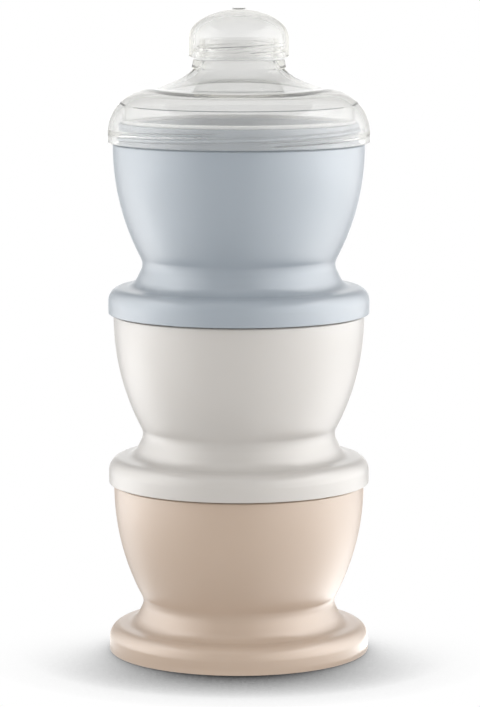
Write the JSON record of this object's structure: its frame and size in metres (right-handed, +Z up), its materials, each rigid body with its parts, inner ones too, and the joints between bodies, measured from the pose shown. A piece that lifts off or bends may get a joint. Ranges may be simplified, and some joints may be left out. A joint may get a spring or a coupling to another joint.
{
  "type": "formula container",
  "caption": "Stacking formula powder container: round bowls that screw onto one another, with rim seals, a clear funnel lid, a pouring spout and a domed screw cap.",
  "frame": {"origin": "on the stack's axis, in the plane that the lowest skirt stands on", "axes": "+Z up along the stack's axis; +X to the right and +Y away from the picture's camera"},
  "size_m": [0.076, 0.076, 0.1878],
  "materials": {
    "peach_plastic": "glossy translucent moulded plastic",
    "white_plastic": "glossy translucent moulded plastic",
    "blue_plastic": "glossy translucent moulded plastic",
    "clear_plastic": "clear glossy moulded plastic",
    "seal_rubber": "soft translucent white"
  },
  "bodies": {
    "bottom_bowl": {"bottom_bowl": "peach_plastic"},
    "bottom_rim_seal": {"bottom_rim_seal": "seal_rubber"},
    "middle_bowl": {"middle_bowl": "white_plastic"},
    "middle_rim_seal": {"middle_rim_seal": "seal_rubber"},
    "top_bowl": {"top_bowl": "blue_plastic"},
    "top_rim_seal": {"top_rim_seal": "seal_rubber"},
    "funnel_lid": {"funnel_lid": "clear_plastic"},
    "spout_seal": {"spout_seal": "seal_rubber"},
    "spout_cap": {"spout_cap": "clear_plastic"}
  },
  "joints": [
    {"name": "middle_bowl_turn", "type": "hinge", "parent": "bottom_bowl", "child": "bottom_rim_seal", "pos_m": [0, 0, 0.0554], "axis": [0, 0, 1], "range_deg": [0, 360]},
    {"name": "middle_bowl_rise", "type": "slide", "parent": "bottom_rim_seal", "child": "middle_bowl", "axis": [0, 0, 1], "range_m": [0, 0.006]},
    {"name": "top_bowl_turn", "type": "hinge", "parent": "middle_bowl", "child": "middle_rim_seal", "pos_m": [0, 0, 0.1051], "axis": [0, 0, 1], "range_deg": [0, 360]},
    {"name": "top_bowl_rise", "type": "slide", "parent": "middle_rim_seal", "child": "top_bowl", "axis": [0, 0, 1], "range_m": [0, 0.006]},
    {"name": "lid_turn", "type": "hinge", "parent": "top_bowl", "child": "top_rim_seal", "pos_m": [0, 0, 0.1548], "axis": [0, 0, 1], "range_deg": [0, 360]},
    {"name": "lid_rise", "type": "slide", "parent": "top_rim_seal", "child": "funnel_lid", "axis": [0, 0, 1], "range_m": [0, 0.006]},
    {"name": "cap_turn", "type": "hinge", "parent": "funnel_lid", "child": "spout_seal", "pos_m": [0, 0, 0.173], "axis": [0, 0, 1], "range_deg": [0, 540]},
    {"name": "cap_rise", "type": "slide", "parent": "spout_seal", "child": "spout_cap", "axis": [0, 0, 1], "range_m": [0, 0.006]}
  ],
  "couplings": [
    {"joint": "middle_bowl_rise", "follows": "middle_bowl_turn", "m_per_rad": 0.00095493},
    {"joint": "top_bowl_rise", "follows": "top_bowl_turn", "m_per_rad": 0.00095493},
    {"joint": "lid_rise", "follows": "lid_turn", "m_per_rad": 0.00095493},
    {"joint": "cap_rise", "follows": "cap_turn", "m_per_rad": 0.00063662}
  ]
}
